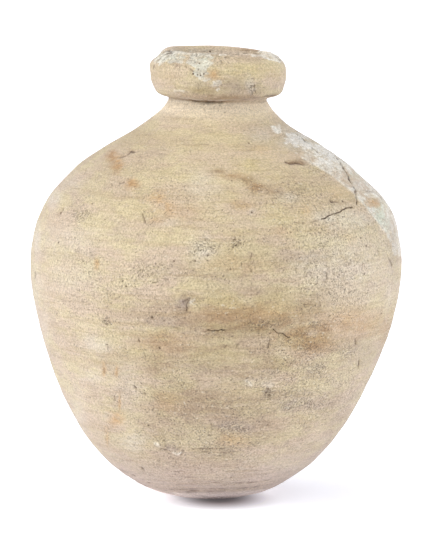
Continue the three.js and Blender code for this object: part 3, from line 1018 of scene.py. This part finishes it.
def with_grain_and_painted_shade(graph, noises, clay):
    """The clay with its streaks, grain, chalk and flecks, and painted shade under the rim and in the
    hollows of the marks.
    """
    clay = graph.mix(graph.span(noises.streak, 0.45, 0.70, 0.0, 0.45), clay, STREAK_TINT, "MULTIPLY")
    grains = graph.mix(graph.span(noises.grain, 0.3, 0.7), DARK_GRAIN, LIGHT_GRAIN)
    grainy = graph.math("MULTIPLY_ADD", graph.mark("rough"), 0.5, 0.6)
    clay = graph.mix(grainy, clay, grains, "MULTIPLY")
    clay = graph.mix(graph.span(noises.chalk, 0.70, 0.84, 0.0, 0.5), clay, CHALK)
    clay = graph.mix(graph.span(noises.fleck, 0.75, 0.83, 0.0, 0.65), clay, FLECK)
    # Painted shade under the rim
    clay = graph.mix(graph.mark("under_rim"), clay, UNDER_RIM_SHADE)
    # Painted shade in the hollows of the marks
    return graph.mix(graph.span(graph.mark("dark"), 0.15, 1.0, 0.0, 0.9), clay, HOLLOW_SHADE)


def clay_bumps(graph, noises):
    normal = graph.bump(noises.grain, 0.7)
    normal = graph.bump(noises.streak, 0.35, normal)
    normal = graph.bump(graph.math("MULTIPLY", noises.near_foot, noises.turned), 1.6, normal)
    return graph.bump(graph.span(noises.fleck, 0.70, 0.83, 1.0, 0.0), 0.6, normal)


def earthenware():
    material = bpy.data.materials.new("earthenware")
    graph = Graph(material)
    noises = clay_noises(graph, graph.add("ShaderNodeTexCoord").outputs["Object"])
    clay = bare_clay(graph, noises)
    clay = with_foot_and_neck(graph, noises, clay)
    clay = with_plaster(graph, noises, clay)
    clay = with_grain_and_painted_shade(graph, noises, clay)
    shader = graph.add(
        "ShaderNodeBsdfPrincipled", Base_Color=clay, Normal=clay_bumps(graph, noises),
        Roughness=graph.span(noises.smudge, 0.2, 0.8, 0.82, 0.96), Specular_IOR_Level=0.3,
        Sheen_Weight=0.18, Sheen_Tint=SHEEN_TINT, Sheen_Roughness=0.45)
    graph.add("ShaderNodeOutputMaterial", Surface=shader.outputs[0])
    return material


# The floor glows, and has a painted shadow under the foot, in its colour and in its glow, and a
# painted haze of shade to the right of it
FLOOR_HALF = 40
SHADOW_MIDDLE = (8 * MM, -30 * MM, 0)
SHADOW_STRETCH = (1.12, 0.9, 1)
SHADOW_SPAN = (7 * MM, 66 * MM)
SHADOW_COLOUR = (0.24, 0.16, 0.17, 1)
SHADOW_GLOW = 0.08
HAZE_MIDDLE = (95 * MM, 10 * MM, 0)
HAZE_STRETCH = (0.9, 0.7, 1)
HAZE_SPAN = (5 * MM, 120 * MM)
HAZE_COLOUR = (0.76, 0.79, 0.90, 1)
HAZE_GLOW = 0.78
FLOOR_COLOUR = (0.88, 0.91, 1.0, 1)
FLOOR_GLOW = 0.48
GLOW_COLOUR = (0.97, 0.97, 1.0, 1)


def pale_floor():
    material = bpy.data.materials.new("floor")
    graph = Graph(material, keep=True)
    place = graph.add("ShaderNodeTexCoord").outputs["Object"]
    # The painted shadow under the foot and the painted haze of shade beside it
    from_shadow = graph.distance(place, SHADOW_MIDDLE, SHADOW_STRETCH)
    haze = graph.span(graph.distance(place, HAZE_MIDDLE, HAZE_STRETCH), *HAZE_SPAN)
    open_floor = graph.mix(haze, HAZE_COLOUR, FLOOR_COLOUR)
    colour = graph.mix(graph.span(from_shadow, *SHADOW_SPAN), SHADOW_COLOUR, open_floor)
    glow = graph.math("MULTIPLY", graph.span(from_shadow, *SHADOW_SPAN, SHADOW_GLOW, FLOOR_GLOW),
                      graph.math("MULTIPLY_ADD", haze, 1 - HAZE_GLOW, HAZE_GLOW))
    shader = material.node_tree.nodes["Principled BSDF"]
    shader.inputs["Roughness"].default_value = 0.9
    shader.inputs["Specular IOR Level"].default_value = 0.1
    shader.inputs["Emission Color"].default_value = GLOW_COLOUR
    graph.plug(shader.inputs["Emission Strength"], glow)
    graph.plug(shader.inputs["Base Color"], colour)
    return material


# Floor, light and camera

def add(name, data):
    item = bpy.data.objects.new(name, data)
    bpy.context.scene.collection.objects.link(item)
    return item


def add_floor():
    corners = [(x * FLOOR_HALF, y * FLOOR_HALF, 0) for x, y in ((-1, -1), (1, -1), (1, 1), (-1, 1))]
    mesh = bpy.data.meshes.new("floor")
    mesh.from_pydata(corners, [], [(0, 1, 2, 3)])
    mesh.materials.append(pale_floor())
    floor = add("floor", mesh)


def add_sun(name, bearing, elevation, softness, strength, tint):
    """A far soft light, with its angles in degrees."""
    data = bpy.data.lights.new(name, "SUN")
    data.angle = math.radians(softness)
    data.energy = strength
    data.color = tint
    turn = math.radians(bearing)
    rise = math.radians(elevation)
    level = math.cos(rise)
    towards = Vector((math.sin(turn) * level, -math.cos(turn) * level, math.sin(rise)))
    add(name, data).rotation_euler = (-towards).to_track_quat("-Z", "Y").to_euler()


def add_world():
    world = bpy.data.worlds.new("studio")
    world.use_nodes = True
    background = world.node_tree.nodes["Background"]
    background.inputs["Color"].default_value = (0.96, 0.98, 1.0, 1)
    background.inputs["Strength"].default_value = 0.6
    bpy.context.scene.world = world


def add_camera():
    data = bpy.data.cameras.new("camera")
    data.sensor_fit = "VERTICAL"
    data.sensor_height = SENSOR_HEIGHT_MM
    data.lens = FOCAL_LENGTH_MM
    data.clip_end = 100
    camera = add("camera", data)
    camera.location = EYE
    camera.rotation_euler = FORWARD.to_track_quat("-Z", "Y").to_euler()
    bpy.context.scene.camera = camera


def add_studio():
    add_world()
    add_sun("key", -72, 40, softness=50, strength=2.0, tint=(1.0, 0.99, 0.98))
    add_sun("fill", 72, 38, softness=60, strength=1.2, tint=(1.0, 0.995, 0.99))
    add_floor()
    add_camera()
    bpy.context.scene.view_settings.view_transform = "Standard"


# The jar

def make_jar():
    surface = fine_surface(JAR)
    swell(surface)
    masks = cut_marks(surface)
    mesh = bpy.data.meshes.new("jar_surface")
    surface.to_mesh(mesh)
    surface.free()
    for name, cover in masks.items():
        mask = mesh.attributes.new(name, "FLOAT", "POINT")
        mask.data.foreach_set("value", cover.astype(np.float32))
    mesh.polygons.foreach_set("use_smooth", np.ones(len(mesh.polygons), dtype=bool))
    mesh.materials.append(earthenware())
    jar = add("jar_surface", mesh)
    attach(jar, "root")
    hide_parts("jar")


make_jar()
add_studio()
